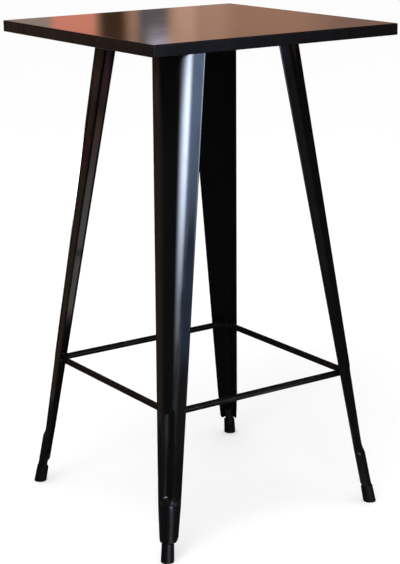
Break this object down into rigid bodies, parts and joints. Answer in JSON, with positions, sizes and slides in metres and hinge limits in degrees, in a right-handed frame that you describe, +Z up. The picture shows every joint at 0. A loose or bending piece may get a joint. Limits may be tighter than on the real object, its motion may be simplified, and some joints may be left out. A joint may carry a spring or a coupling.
{
  "type": "pub table",
  "caption": "Square bar-height table with a folded steel top, splayed pressed-sheet legs, a bent foot rail inside the legs and flared rubber feet.",
  "frame": {"origin": "on the floor, under the middle of the square top", "axes": "+Z up, X and Y along the top's sides"},
  "size_m": [0.6, 0.6, 1.062],
  "materials": {
    "top_paint": "gloss dark brown",
    "leg_paint": "gloss black",
    "rail_paint": "gloss black",
    "frame_paint": "satin black",
    "zinc": "zinc plated",
    "foot_rubber": "satin black"
  },
  "bodies": {
    "root": {"top_tray": "top_paint", "frame_channel_front": "frame_paint", "frame_channel_back": "frame_paint", "frame_channel_left": "frame_paint", "frame_channel_right": "frame_paint", "leg_head_plate_front_left": "frame_paint", "leg_head_plate_front_right": "frame_paint", "leg_head_plate_back_left": "frame_paint", "leg_head_plate_back_right": "frame_paint", "leg_front_left": "leg_paint", "leg_front_right": "leg_paint", "leg_back_left": "leg_paint", "leg_back_right": "leg_paint", "head_bolts": "zinc", "head_washers": "zinc", "weld_nuts": "zinc", "foot_rail": "rail_paint", "rail_spacers": "frame_paint", "rail_bolts": "frame_paint", "foot_stub_front_left": "frame_paint", "foot_stub_front_right": "frame_paint", "foot_stub_back_left": "frame_paint", "foot_stub_back_right": "frame_paint", "foot_cap_front_left": "foot_rubber", "foot_cap_front_right": "foot_rubber", "foot_cap_back_left": "foot_rubber", "foot_cap_back_right": "foot_rubber"}
  },
  "joints": []
}
